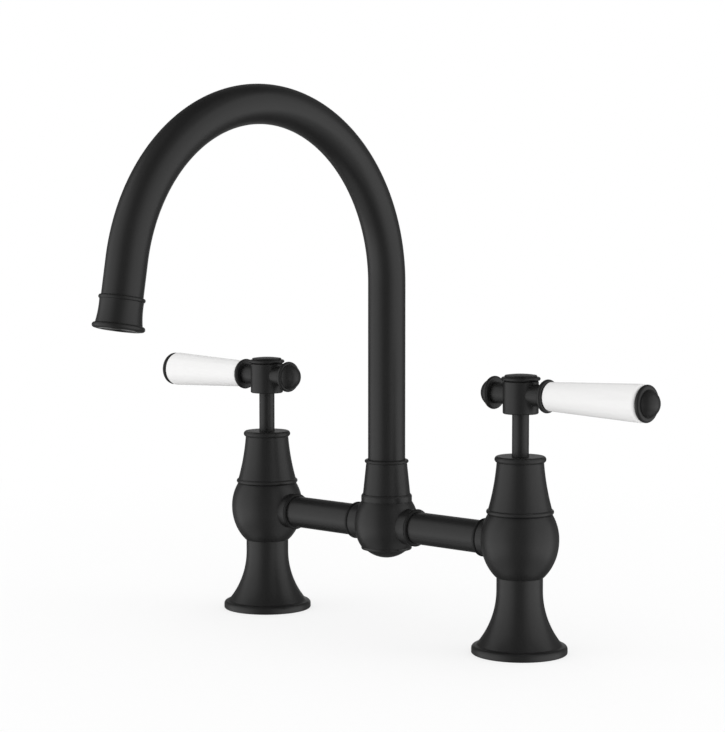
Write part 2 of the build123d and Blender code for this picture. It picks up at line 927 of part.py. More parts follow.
def spout_gland():
    """Tapered nut with a bead that keeps the spout upright."""
    bead_bottom = centre_top + gland_cone_height
    top = bead_bottom + gland_bead_height
    gland = turned(
        (0, centre_top),
        (gland_base_radius, centre_top),
        (gland_neck_radius, bead_bottom),
        half_round(gland_neck_radius, gland_bead_radius, bead_bottom, top),
        (0, top),
    )
    gland -= rod(gland_thread_radius + thread_fit, centre_top, bush_top)
    return gland - rod(spout_radius + open_clearance, bush_top, top)


def spout_bush():
    """Flanged plastic bush in which the spout turns."""
    bush = rod(bush_seat_radius - thread_fit, bush_bottom, bush_top)
    bush += rod(gland_thread_radius, gland_thread_top, bush_top)
    return bush - rod(bush_bore_radius, bush_bottom, bush_top)


def retaining_screw():
    """Headless screw whose tip runs in the spout's groove."""
    tip_end = spigot_radius - retaining_groove_depth + open_clearance
    shank_end = spigot_radius + open_clearance
    outer_end = collar_band_radius - retaining_screw_sink
    screw = rod(retaining_screw_radius, shank_end, outer_end)
    screw += rod(retaining_screw_tip, tip_end, shank_end)
    screw -= hexagon_bar(retaining_socket_across, outer_end - retaining_socket_depth, outer_end)
    return Pos(0, 0, retaining_groove_height) * Rot(X=-90) * screw


# ---------------------------------------------------------------- spout
def spout_tube():
    """Gooseneck tube: an upright riser, a wide bend and a short tail that leans outwards."""
    section = Circle(spout_radius) - Circle(spout_radius - spout_wall)
    riser = Pos(0, 0, spout_bottom) * extrude(section, spout_bend_centre - spout_bottom)
    bend_axis = Axis((0, -spout_bend_radius, spout_bend_centre), (1, 0, 0))
    bend = revolve(Pos(0, 0, spout_bend_centre) * section, bend_axis, spout_bend_angle)
    tail = outlet_place() * extrude(section, spout_tail)
    return riser + bend + tail


def outlet_place():
    """Frame at the end of the bend; its Z runs down the tail of the spout."""
    angle = radians(spout_bend_angle)
    end = (
        0,
        spout_bend_radius * (cos(angle) - 1),
        spout_bend_centre + spout_bend_radius * sin(angle),
    )
    return Plane(origin=end, x_dir=(1, 0, 0), z_dir=(0, -sin(angle), cos(angle))).location


def spout_seal_heights():
    """Heights of the two seal grooves, below the groove of the retaining screw."""
    upper = retaining_groove_height - spout_seal_below_groove
    return (upper - spout_seal_spacing, upper)


def spout_spigot():
    """Brass spigot joined into the tube; it turns in the bush and holds two seals."""
    bottom = mixing_top + spigot_entry
    sleeve_radius = spout_radius - spout_wall - thread_fit
    spigot = rod(spigot_radius, bottom, spigot_top) + rod(sleeve_radius, spout_bottom, spigot_top)
    spigot -= rod(spigot_bore_radius, bottom, spigot_top)
    for height in spout_seal_heights():
        half = spout_seal_width / 2
        root = spigot_radius - spout_seal_depth
        spigot -= ring(spigot_radius, root, height - half, height + half)
    half = retaining_screw_tip + open_clearance
    root = spigot_radius - retaining_groove_depth
    middle = retaining_groove_height
    return spigot - ring(spigot_radius, root, middle - half, middle + half)


def spout_seals():
    """The two rubber rings of the spigot."""
    inner = spigot_radius - spout_seal_depth + seal_nip
    outer = bush_bore_radius - seal_nip
    return [o_ring(inner, outer, height) for height in spout_seal_heights()]


def outlet_skirt():
    """Beaded bell on the end of the spout, with a rounded rim."""
    waist = skirt_start + skirt_bead_width
    middle = skirt_start + skirt_middle_length
    skirt = turned(
        (0, skirt_start),
        (skirt_waist_radius, skirt_start),
        half_round(skirt_waist_radius, skirt_bead_radius, skirt_start, waist),
        ((skirt_middle_radius, middle), (skirt_flare_radius, skirt_flare_end)),
        half_round(skirt_flare_radius, skirt_rim_crest, skirt_flare_end, skirt_end),
        (0, skirt_end),
    )
    skirt -= rod(spout_radius + thread_fit, skirt_start, spout_tail)
    return skirt - rod(aerator_radius + thread_fit, spout_tail, skirt_end)


def aerator_housing():
    """Threaded metal sleeve with an inner lip that holds the insert."""
    sleeve = ring(aerator_radius, aerator_radius - aerator_wall, aerator_start, aerator_end)
    return sleeve + ring(aerator_radius, aerator_lip_radius, aerator_end - aerator_lip, aerator_end)


def aerator_insert():
    """Plastic disc with a hexagonal field of fine jets."""
    top = aerator_end - aerator_lip - insert_thickness
    body = rod(aerator_radius - aerator_wall - thread_fit, top, top + insert_thickness)
    body += rod(aerator_lip_radius - thread_fit, top + insert_thickness, aerator_end - insert_recess)
    jets = []
    for row in range(-insert_rings, insert_rings + 1):
        for column in range(-insert_rings, insert_rings + 1):
            if abs(row + column) <= insert_rings:
                x = insert_hole_pitch * (column + row / 2)
                y = insert_hole_pitch * row * 3**0.5 / 2
                jets.append(Pos(x, y, top) * extrude(Circle(insert_hole_radius), aerator_end - top))
    return body - jets


def aerator_washer():
    """Rubber washer between the tube and the aerator."""
    return ring(aerator_radius - thread_fit, aerator_washer_inner, spout_tail, aerator_start)


# ---------------------------------------------------------------- assembly
def group(*solids):
    """Several separate solids kept together as one piece of the assembly."""
    return Compound(children=list(solids))


def save(name, shape):
    """Write one sub-part."""
    export_step(shape, f"parts/{name}.step")


def save_side(name, side):
    """Write every piece of one pillar, its valve, its lever and its half of the bridge."""
    pillar = Pos(side * pillar_spacing / 2, 0, 0)
    lever = Pos(side * pillar_spacing / 2, 0, lever_height) * Rot(Y=90 * side)
    inward = Pos(side * pillar_spacing / 2, 0, lever_height) * Rot(Y=-90 * side)
    bridge = Pos(0, 0, bridge_height) * Rot(Y=90 * side)
    save(f"{name}_foot", pillar * foot())
    save(f"{name}_pillar_body", pillar * pillar_body(side))
    save(f"{name}_bonnet", pillar * bonnet())
    save(f"{name}_cartridge_body", pillar * cartridge_body())
    save(f"{name}_seat_seal", pillar * seat_seal())
    save(f"{name}_fixed_disc", pillar * fixed_disc())
    save(f"{name}_moving_disc", pillar * moving_disc())
    save(f"{name}_spindle", pillar * spindle())
    save(f"{name}_spindle_seals", group(*[pillar * seal for seal in spindle_seals()]))
    save(f"{name}_spindle_clip", pillar * spindle_clip())
    save(f"{name}_lever_hub", pillar * lever_hub())
    save(f"{name}_lever_screw", pillar * lever_screw())
    save(f"{name}_hub_cap", pillar * hub_cap())
    save(f"{name}_knob", inward * knob())
    save(f"{name}_grip_collar", lever * grip_collar())
    save(f"{name}_grip_rod", lever * grip_rod())
    save(f"{name}_grip_washers", group(*[lever * washer for washer in grip_washers()]))
    save(f"{name}_ceramic_grip", lever * ceramic_grip())
    save(f"{name}_end_cap", lever * end_cap())
    save(f"{name}_bridge_tube", bridge * bridge_tube())
    rings = [bridge_ring(centre_boss_end), bridge_ring(pillar_ring_start)]
    save(f"{name}_bridge_rings", group(*[bridge * piece for piece in rings]))
    save(f"{name}_bridge_seals", group(*[bridge * seal for seal in bridge_seals()]))


def save_feet_rubber():
    """Write the two counter gaskets and the two seals above the feet."""
    pillars = [Pos(side * pillar_spacing / 2, 0, 0) for side in (-1, 1)]
    save("foot_gaskets", group(*[pillar * foot_gasket() for pillar in pillars]))
    save("foot_seals", group(*[pillar * foot_seal() for pillar in pillars]))


def save_centre():
    """Write the centre body, its caps and everything on the spout."""
    outlet = outlet_place()
    save("centre_body", centre_body())
    save("bottom_cap", bottom_cap())
    save("bottom_cap_seal", bottom_cap_seal())
    save("spout_gland", spout_gland())
    save("spout_bush", spout_bush())
    save("spout_retaining_screw", retaining_screw())
    save("spout_tube", spout_tube())
    save("spout_spigot", spout_spigot())
    save("spout_seals", group(*spout_seals()))
    save("outlet_skirt", outlet * outlet_skirt())
    save("aerator_housing", outlet * aerator_housing())
    save("aerator_insert", outlet * aerator_insert())
    save("aerator_washer", outlet * aerator_washer())


os.makedirs("parts", exist_ok=True)
save_side("hot", -1)
save_side("cold", 1)
save_feet_rubber()
save_centre()
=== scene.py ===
# %% [markdown]
# # A bridge kitchen tap
# The solids of this tap come from its CAD model, and they stay where they are. This notebook gives
# them their finishes, makes again the pieces that Blender can make better, and sets up a small
# studio. All lengths are in metres. X runs along the bridge, Y away from the spout, and Z up.

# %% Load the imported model
import json
from math import cos, pi, radians, sin

import bpy
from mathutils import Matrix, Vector


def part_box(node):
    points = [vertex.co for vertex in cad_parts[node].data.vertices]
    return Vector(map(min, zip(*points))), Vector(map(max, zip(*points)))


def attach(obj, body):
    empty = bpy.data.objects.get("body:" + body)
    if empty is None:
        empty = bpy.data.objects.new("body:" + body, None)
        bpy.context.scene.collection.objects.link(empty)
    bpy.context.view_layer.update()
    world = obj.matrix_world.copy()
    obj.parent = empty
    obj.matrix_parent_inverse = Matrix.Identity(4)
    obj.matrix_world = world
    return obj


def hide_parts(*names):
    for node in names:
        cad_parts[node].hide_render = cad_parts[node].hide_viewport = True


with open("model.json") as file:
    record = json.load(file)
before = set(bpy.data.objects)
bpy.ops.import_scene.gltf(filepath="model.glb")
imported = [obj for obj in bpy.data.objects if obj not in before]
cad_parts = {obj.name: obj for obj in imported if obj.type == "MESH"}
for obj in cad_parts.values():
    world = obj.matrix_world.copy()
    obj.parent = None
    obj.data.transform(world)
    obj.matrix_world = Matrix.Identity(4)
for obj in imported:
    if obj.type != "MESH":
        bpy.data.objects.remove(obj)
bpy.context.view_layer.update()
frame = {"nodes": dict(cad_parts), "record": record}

nodes = frame["nodes"]
scene = bpy.context.scene

# %% [markdown]
# ## The camera
# A product photograph is taken with a long lens from a metre or so away, so that upright tubes stay
# parallel. Two angles say where the camera stands: round the tap, and above the counter. A camera
# looks along its own -Z axis, so its +Z axis is turned to point back from the tap.

# %% Camera
camera_azimuth = radians(42.679)
camera_height_angle = radians(4.223)
camera_place = (0.8078, -0.8970, 0.2450)
lens_millimetres = 101.45

towards_camera = Vector((
    sin(camera_azimuth) * cos(camera_height_angle),
    -cos(camera_azimuth) * cos(camera_height_angle),
    sin(camera_height_angle),
))
camera = bpy.data.objects.new("studio_camera", bpy.data.cameras.new("studio_camera"))
camera.data.lens = lens_millimetres
camera.location = camera_place
camera.rotation_euler = towards_camera.to_track_quat("Z", "Y").to_euler()
scene.collection.objects.link(camera)
scene.camera = camera
print("camera:", [round(x, 3) for x in camera.location], "lens", camera.data.lens)

# %% [markdown]
# ## Shader maths in plain Python
# A finish is a tree of nodes, and the sums in it are hard to read when each one is a node that is
# made and linked by hand. A small class can wrap a socket and overload the signs for sums, and then
# `1 - mask` adds the Math node by itself. One method adds every other node: first its settings,
# because they can change its sockets, and then its inputs.


# %% Node trees from Python expressions
class Field:
    """A number that changes over a surface or along a path."""

    def __init__(self, tree, socket):
        self.tree = tree
        self.socket = socket

    def __add__(self, other):
        return self.tree.math("ADD", self, other)

    def __sub__(self, other):
        return self.tree.math("SUBTRACT", self, other)

    def __rsub__(self, other):
        return self.tree.math("SUBTRACT", other, self)

    def __mul__(self, other):
        return self.tree.math("MULTIPLY", self, other)

    def __truediv__(self, other):
        return self.tree.math("DIVIDE", self, other)

    def __rtruediv__(self, other):
        return self.tree.math("DIVIDE", other, self)

    __radd__ = __add__
    __rmul__ = __mul__


class NodeTree:
    """A node tree that is built by calls and by sums."""

    def __init__(self, tree):
        self.tree = tree

    def node(self, kind, settings=None, inputs=None):
        """Add a node with its settings, and then link or write its inputs."""
        node = self.tree.nodes.new(kind)
        for name, value in (settings or {}).items():
            setattr(node, name, value)
        for name, value in (inputs or {}).items():
            self.feed(node.inputs[name], value)
        return node

    def feed(self, socket, value):
        """Link a socket to a field or to another socket, or write a plain value into it."""
        if isinstance(value, Field):
            value = value.socket
        if isinstance(value, bpy.types.NodeSocket):
            self.tree.links.new(value, socket)
        else:
            socket.default_value = value

    def field(self, node, output=0):
        """An output of a node, ready for sums."""
        return Field(self, node.outputs[output])

    def math(self, operation, *values):
        """One sum of the values, as a Math node."""
        node = self.node("ShaderNodeMath", {"operation": operation}, dict(enumerate(values)))
        return self.field(node)


print("ready: node trees from Python expressions")

# %% [markdown]
# ## What a finish is made of
# Each finish here is one material with one Principled shader. Its patterns are 3D noises that are
# read at Object coordinates: the solids have no UV maps, and a noise in space has no seams. A noise
# takes its size in metres, so an orange-peel bump of one millimetre stays one millimetre on every
# piece. The Bevel node rounds sharp edges in the shading, and where its normal departs from the
# true one there is an edge, which gives a mask for the places where a coating is rubbed.

# %% Finishes
smooth_step = {"interpolation_type": "SMOOTHSTEP"}
edge_samples = 6
edge_begins, edge_full = 0.01, 0.25     # 1 minus the cosine between the soft and the true normal


class Finish(NodeTree):
    """A node material with one Principled shader."""

    def __init__(self, name):
        self.material = bpy.data.materials.new(name)
        self.material.use_nodes = True
        super().__init__(self.material.node_tree)
        self.tree.nodes.clear()
        self.place = self.node("ShaderNodeTexCoord").outputs["Object"]

    def noise(self, size, detail=1.0, stretch=(1, 1, 1)):
        """Noise from 0 to 1 with lumps of a size; a small stretch draws them out on an axis."""
        inputs = {"Vector": self.place, "Scale": stretch}
        place = self.node("ShaderNodeMapping", inputs=inputs).outputs[0]
        inputs = {"Vector": place, "Scale": 1 / size, "Detail": detail}
        return self.field(self.node("ShaderNodeTexNoise", inputs=inputs), "Fac")

    def ramp(self, value, start, end):
        """Smooth step of a field, from 0 at one value to 1 at another."""
        inputs = {"Value": value, "From Min": start, "From Max": end}
        return self.field(self.node("ShaderNodeMapRange", smooth_step, inputs))

    def blend(self, share, first, second):
        """Colour between two others."""
        inputs = {0: share, 6: first, 7: second}
        mix = self.node("ShaderNodeMix", {"data_type": "RGBA"}, inputs)
        return mix.outputs[2]

    def edges(self, width):
        """The normal of softened edges, and a mask that is 1 on them."""
        soft = self.node("ShaderNodeBevel", {"samples": edge_samples}, {"Radius": width}).outputs[0]
        plain = self.node("ShaderNodeNewGeometry").outputs["Normal"]
        alike = self.node("ShaderNodeVectorMath", {"operation": "DOT_PRODUCT"}, {0: soft, 1: plain})
        return soft, self.ramp(1 - self.field(alike, "Value"), edge_begins, edge_full)

    def bump(self, height, depth, normal=None):
        """Normal of a surface that is raised by a field times a depth in metres."""
        inputs = {"Height": height, "Distance": depth, "Strength": 1.0}
        if normal is not None:
            inputs["Normal"] = normal
        return self.node("ShaderNodeBump", inputs=inputs).outputs[0]

    def surface(self, **sockets):
        """The Principled shader; an underscore in a name stands for a space."""
        inputs = {name.replace("_", " "): value for name, value in sockets.items()}
        shader = self.node("ShaderNodeBsdfPrincipled", inputs=inputs)
        self.node("ShaderNodeOutputMaterial", inputs={"Surface": shader.outputs[0]})
        print("finish:", self.material.name, "with", len(self.tree.nodes), "nodes")


def grey(level, warmth=0.0):
    """A colour that is nearly grey, with a little more red than blue where warmth is above 0."""
    return (level * (1 + warmth), level, level * (1 - warmth), 1.0)


print("ready: finishes from noises, edges and bumps")

# %% [markdown]
# ## Satin black coating
# Powder is sprayed on the brass and melts in an oven into a skin a tenth of a millimetre thick. It
# is never quite level: it keeps a faint orange peel a millimetre or so across, and the matting
# agent in it makes a much finer grain. Both are bumps of a few thousandths of a millimetre. The
# skin lies thinner on sharp edges, which look a little lighter and smoother, and its darkness
# drifts slightly from place to place.

# %% Black coating
black_deep, black_pale, black_rubbed = 0.0095, 0.0120, 0.026
black_roughness = 0.32
drift_size, peel_size, grain_size = 0.018, 0.0013, 0.00028
coating_edge = 0.00035
coating_relief = 0.000012

black = Finish("satin_black_coating")
drift = black.noise(drift_size, detail=2)
peel = black.noise(peel_size)
grain = black.noise(grain_size, detail=2)
soft_edge, rub = black.edges(coating_edge)
black.surface(
    Base_Color=black.blend(
        rub * 0.5 + grain * 0.15,
        black.blend(drift, grey(black_deep), grey(black_pale)),
        grey(black_rubbed),
    ),
    Roughness=black_roughness + drift * 0.05 + grain * 0.04 - rub * 0.06,
    Normal=black.bump(peel * 0.5 + grain * 0.1, coating_relief, soft_edge),
)

# %% [markdown]
# ## White glaze
# The grips are fired ceramic under a clear glossy glaze over a white body. Melted glass is nearly
# smooth, with a long lazy waviness that bends reflections, and it thins at the ends, where the body
# shows a little warmer. A pinhole here and there is all the texture that it has.

# %% White glaze
glaze_white, body_white = grey(0.875, 0.004), grey(0.80, 0.012)
glaze_roughness = 0.13
wave_size, cloud_size, pinhole_spacing = 0.009, 0.025, 0.0016
pinhole_rim, pinhole_floor = 0.78, 0.86
glaze_edge = 0.0009
glaze_relief = 0.00003

glaze = Finish("white_glaze")
waves = glaze.noise(wave_size, detail=0)
clouds = glaze.noise(cloud_size, detail=3)
pinholes = glaze.ramp(glaze.noise(pinhole_spacing), pinhole_rim, pinhole_floor)
soft_edge, thin = glaze.edges(glaze_edge)
glaze.surface(
    Base_Color=glaze.blend(
        thin * 0.6 + clouds * 0.2 + pinholes * 0.2,
        glaze_white,
        body_white,
    ),
    Roughness=glaze_roughness + clouds * 0.05 + pinholes * 0.2,
    Normal=glaze.bump(waves - pinholes * 0.15, glaze_relief, soft_edge),
)

# %% [markdown]
# ## The finishes inside
# Brass and steel pieces are turned on a lathe, and the tool leaves fine rings across the axis. Most
# of the axes stand upright, so a noise that is drawn out along X and Y and packed close along Z
# gives such rings at no cost. Rubber and the moulded plastics are duller, with a soft mottle from
# the mould.

# %% Turned metals
ring_stretch = (0.02, 0.02, 1.0)
stain_size = 0.006
turned_edge = 0.0002
turned_relief = 0.000006


def turned_metal(name, dark, light, roughness, ring_size):
    """Bare metal with lathe rings across an upright axis, and edges that are a little brighter."""
    metal = Finish(name)
    rings = metal.noise(ring_size, detail=2, stretch=ring_stretch)
    stain = metal.noise(stain_size, detail=3)
    edge_normal, bright = metal.edges(turned_edge)
    metal.surface(
        Base_Color=metal.blend(stain * 0.7 + bright * 0.3, dark, light),
        Metallic=1.0,
        Roughness=roughness + rings * 0.12 + stain * 0.06,
        Normal=metal.bump(rings, turned_relief, edge_normal),
    )
    return metal


brass_dark, brass_light = (0.62, 0.43, 0.17, 1.0), (0.80, 0.60, 0.29, 1.0)
brass = turned_metal("turned_brass", brass_dark, brass_light, roughness=0.2, ring_size=0.0003)
steel = turned_metal(
    "turned_steel", grey(0.42, 0.02), grey(0.60, 0.02), roughness=0.22, ring_size=0.00025
)
plating = turned_metal("outlet_plating", grey(0.22), grey(0.34), roughness=0.12, ring_size=0.0008)

# %% Rubber, plastics and lapped ceramic
mottle_size = 0.005
moulded_edge = 0.00025


def moulded(name, dark, light, roughness, skin_size, depth, gloss=0.5):
    """A moulded or lapped material: a soft mottle, a fine skin and slightly rubbed edges."""
    stuff = Finish(name)
    mottle = stuff.noise(mottle_size, detail=2)
    skin = stuff.noise(skin_size, detail=2)
    edge_normal, worn = stuff.edges(moulded_edge)
    stuff.surface(
        Base_Color=stuff.blend(mottle * 0.7 + worn * 0.3, dark, light),
        Roughness=roughness + skin * 0.1 - worn * 0.08,
        Specular_IOR_Level=gloss,
        Normal=stuff.bump(skin, depth, edge_normal),
    )
    return stuff


rubber = moulded(
    "black_rubber", grey(0.006), grey(0.010),
    roughness=0.46, skin_size=0.0004, depth=0.00002, gloss=0.4,
)
jets = moulded(
    "black_moulded_plastic", grey(0.01), grey(0.016),
    roughness=0.45, skin_size=0.0005, depth=0.00001,
)
acetal = moulded(
    "white_acetal", grey(0.72, 0.01), grey(0.80, 0.01),
    roughness=0.4, skin_size=0.0006, depth=0.00001,
)
alumina = moulded(
    "lapped_alumina", grey(0.80, 0.01), grey(0.86, 0.005),
    roughness=0.2, skin_size=0.0003, depth=0.000002,
)

# %% [markdown]
# ## Which solid has which finish
# The record of the part names a material slot for every solid, and each slot has its finish here. A
# solid from the CAD model keeps its mesh: only its material slots are filled.

# %% Give every solid its finish
finishes = {
    "black_coating": black,
    "white_glaze": glaze,
    "disc_ceramic": alumina,
    "brass": brass,
    "steel": steel,
    "rubber": rubber,
    "bush_plastic": acetal,
    "jet_plastic": jets,
    "outlet_metal": plating,
}
slots = {subpart["node"]: subpart["material_slot"] for subpart in frame["record"]["subparts"]}
for name, solid in nodes.items():
    solid.data.materials.clear()
    solid.data.materials.append(finishes[slots[name]].material)
print("dressed:", len(slots), "solids in", len(set(slots.values())), "finishes")

# %% [markdown]
# ## Geometry Nodes from Python
# A piece that follows a rule can be grown from its sizes. The tree is a group with one named input
# for each size, and its last nodes set the material. The modifier is read once, its result is kept
# as a plain mesh, and the modifier goes. All the pieces that are grown here are sweeps: a circle is
# drawn along a line of many short steps.

# %% Shapes grown by Geometry Nodes
circle_points = 96


class ShapeTree(NodeTree):
    """A Geometry Nodes tree with one input for each size."""

    def __init__(self, name, sizes):
        super().__init__(bpy.data.node_groups.new(name, "GeometryNodeTree"))
        self.values = sizes
        sockets = self.tree.interface
        for size in sizes:
            sockets.new_socket(name=size, in_out="INPUT", socket_type="NodeSocketFloat")
        sockets.new_socket(name="Geometry", in_out="OUTPUT", socket_type="NodeSocketGeometry")
        group_input = self.node("NodeGroupInput")
        self.size = {size: Field(self, group_input.outputs[size]) for size in sizes}

    def point(self, x, y, z):
        """A vector from three fields or numbers."""
        return self.node("ShaderNodeCombineXYZ", inputs={0: x, 1: y, 2: z}).outputs[0]

    def line(self, end, steps):
        """A straight curve from the origin to an end, with a number of points on it."""
        whole = self.node("GeometryNodeCurvePrimitiveLine", inputs={"End": end}).outputs[0]
        inputs = {"Curve": whole, "Count": steps}
        return self.node("GeometryNodeResampleCurve", inputs=inputs).outputs[0]

    def move(self, geometry, position):
        """The geometry with every point at a new position."""
        inputs = {"Geometry": geometry, "Position": position}
        return self.node("GeometryNodeSetPosition", inputs=inputs).outputs[0]

    def sweep(self, curve, radius, caps=False):
        """The skin that a circle leaves as it goes along a curve."""
        inputs = {"Resolution": circle_points, "Radius": radius}
        circle = self.node("GeometryNodeCurvePrimitiveCircle", inputs=inputs).outputs[0]
        inputs = {"Curve": curve, "Profile Curve": circle, "Fill Caps": caps}
        return self.node("GeometryNodeCurveToMesh", inputs=inputs).outputs[0]

    def grow(self, piece_name, geometry, finish):
        """Finish the tree, and keep what it makes as a plain mesh."""
        real = self.node("GeometryNodeRealizeInstances", inputs={0: geometry}).outputs[0]
        inputs = {"Geometry": real, "Material": finish.material}
        dressed = self.node("GeometryNodeSetMaterial", inputs=inputs).outputs[0]
        self.node("NodeGroupOutput", inputs={"Geometry": dressed})
        seed = bpy.data.objects.new(piece_name, bpy.data.meshes.new("seed"))
        scene.collection.objects.link(seed)
        modifier = seed.modifiers.new("grow", "NODES")
        modifier.node_group = self.tree
        for item in self.tree.interface.items_tree:
            if item.in_out == "INPUT":
                modifier[item.identifier] = self.values[item.name]
        grown = seed.evaluated_get(bpy.context.evaluated_depsgraph_get())
        mesh = bpy.data.meshes.new_from_object(grown)
        seed.modifiers.clear()
        seed.data = mesh
        return seed


print("ready: shapes grown by Geometry Nodes, with circles of", circle_points, "points")

# %% [markdown]
# ## The gooseneck
# The spout is one brass tube: an upright riser, a wide bend and a short tail. A bender makes it
# from a straight length, and the rule here does the same. It lays points along a straight line,
# works out how far round the bend each one has come, and moves it there. A circle swept along the
# line gives the skin, and Solidify gives the wall. The swept tube is smoother than the CAD solid's
# triangles, so its long highlights run clean.

# %% Gooseneck tube
tube_low, tube_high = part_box("spout_tube")
tube_radius = (tube_high.x - tube_low.x) / 2
bend_radius = 0.1005
bend_angle = radians(170.2)
riser_length = tube_high.z - tube_radius - bend_radius - tube_low.z
tail_length = 0.0262
tube_wall = 0.0013
tube_steps = 240

gooseneck = ShapeTree("gooseneck", {
    "Start height": tube_low.z,
    "Riser": riser_length,
    "Bend radius": bend_radius,
    "Bend angle": bend_angle,
    "Tail": tail_length,
    "Tube radius": tube_radius,
})
size = gooseneck.size
whole = size["Riser"] + size["Bend radius"] * size["Bend angle"] + size["Tail"]
straight = gooseneck.line(gooseneck.point(0, 0, whole), tube_steps)
travel = gooseneck.field(gooseneck.node("GeometryNodeSplineParameter"), "Length")
round_bend = gooseneck.math("MAXIMUM", travel - size["Riser"], 0)
turn = gooseneck.math("MINIMUM", round_bend / size["Bend radius"], size["Bend angle"])
along_tail = round_bend - turn * size["Bend radius"]
sine, cosine = gooseneck.math("SINE", turn), gooseneck.math("COSINE", turn)
reach = size["Bend radius"] * (1 - cosine) + along_tail * sine
upright = gooseneck.math("MINIMUM", travel, size["Riser"])
height = size["Start height"] + upright + size["Bend radius"] * sine + along_tail * cosine
bent = gooseneck.move(straight, gooseneck.point(0, reach * -1, height))
skin = gooseneck.sweep(bent, size["Tube radius"])
tube = gooseneck.grow("gooseneck_tube", skin, black)
print("gooseneck:", len(tube.data.polygons), "faces in the skin")

# %% [markdown]
# ## The ceramic grips
# A grip is cast as a tapered sleeve with a small round at its inner end and a full one at its outer
# end, where it runs down to the bead of the end cap. The washer between the two lies in the sleeve,
# out of sight. The CAD solid stops short of the cap by the washer's thickness, so this grip takes
# its place and closes that slot. A circle of radius 1 is swept along the axis, and every point of
# the skin is then drawn to the radius that the taper and the two rounds give at its place.

# %% Ceramic grips
grip_start_radius = 0.00805
grip_end_radius = 0.0104
grip_length = 0.06045
grip_near_round = 0.0005
grip_far_round = 0.002
washer_slot = 0.00165
grip_steps = 400


def ceramic_sleeve(side, outward):
    """The grip of one lever; outward is 1 for a lever that points to +X, and -1 for the other."""
    low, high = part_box(side + "_ceramic_grip")
    sleeve = ShapeTree(side + "_sleeve", {
        "Start": low.x if outward > 0 else high.x,
        "Axis Y": (low.y + high.y) / 2,
        "Axis Z": (low.z + high.z) / 2,
        "Length": grip_length + washer_slot,
        "Start radius": grip_start_radius,
        "Widening": (grip_end_radius - grip_start_radius) / grip_length,
        "Near round": grip_near_round,
        "Far round": grip_far_round,
    })
    size = sleeve.size

    def draw_in(corner, depth):
        """How far a quarter round with this corner radius has come in at a depth into it."""
        into = sleeve.math("MAXIMUM", depth, 0)
        left = sleeve.math("MAXIMUM", corner * corner - into * into, 0)
        return corner - sleeve.math("SQRT", left)

    axis = sleeve.line(sleeve.point(size["Length"] * outward, 0, 0), grip_steps)
    skin = sleeve.sweep(axis, 1.0, caps=True)
    place = sleeve.node("GeometryNodeInputPosition").outputs[0]
    spot = sleeve.node("ShaderNodeSeparateXYZ", inputs={0: place})
    along = sleeve.math("ABSOLUTE", sleeve.field(spot, "X"))
    near = draw_in(size["Near round"], size["Near round"] - along)
    far = draw_in(size["Far round"], along - size["Length"] + size["Far round"])
    radius = size["Start radius"] + along * size["Widening"] - near - far
    shaped = sleeve.move(skin, sleeve.point(
        size["Start"] + along * outward,
        size["Axis Y"] + sleeve.field(spot, "Y") * radius,
        size["Axis Z"] + sleeve.field(spot, "Z") * radius,
    ))
    return sleeve.grow(side + "_grip_sleeve", shaped, glaze)


sleeves = {"hot": ceramic_sleeve("hot", -1), "cold": ceramic_sleeve("cold", 1)}
for side, sleeve in sleeves.items():
    print("grip:", side, len(sleeve.data.polygons), "faces")

# %% [markdown]
# ## The studio
# The tap stands on a pale counter in a white room, whose even light comes from all round. Two tall
# soft boxes stand left and right of the camera's line, and the left one is weaker, so the grips are
# a little brighter on the right. The white of the background comes from the world's colour, not
# from more light.

# %% World
world = bpy.data.worlds.new("white_room")
scene.world = world
world.use_nodes = True
room = NodeTree(world.node_tree)
room.tree.nodes.clear()
room_light = 1.0
background = room.node("ShaderNodeBackground", inputs={"Color": grey(1.0), "Strength": room_light})
room.node("ShaderNodeOutputWorld", inputs={"Surface": background.outputs[0]})
scene.view_settings.view_transform = "Standard"
print("world: strength", room_light)

# %% [markdown]
# ## The counter
# A counter in plain paint would look grey against the white room. So it is part paint, which takes
# the tap's soft shadow, and part glow, which is white of its own. To the camera the glow is most of
# it near the tap and all of it from a short way off, where the counter melts into the background.
# To light that bounces it is mostly paint, and a quarter is a glow a little brighter than white:
# painted light that fills the undersides of the grips, though the counter is no lamp.

# %% Counter
floor_half = 30.0
counter_white = 0.92
melt_starts, melt_ends = 0.25, 0.75     # distance from the middle of the tap
glow_share = 0.7
# painted light: the share and strength of the glow that the counter gives to bounced rays, to light
# the undersides of the grips
underside_fill_share = 0.25
underside_fill_glow = 1.2


def seen_or_mirrored(tree):
    """1 for rays from the camera, from a mirror or through glass, and 0 for light."""
    path = tree.node("ShaderNodeLightPath")
    seen = tree.field(path, "Is Camera Ray") + tree.field(path, "Is Glossy Ray")
    return tree.math("MINIMUM", seen + tree.field(path, "Is Transmission Ray"), 1)


floor_mesh = bpy.data.meshes.new("counter")
corners = [(x * floor_half, y * floor_half, 0.0) for x, y in ((-1, -1), (1, -1), (1, 1), (-1, 1))]
floor_mesh.from_pydata(corners, [], [(0, 1, 2, 3)])
floor = bpy.data.objects.new("counter", floor_mesh)
scene.collection.objects.link(floor)

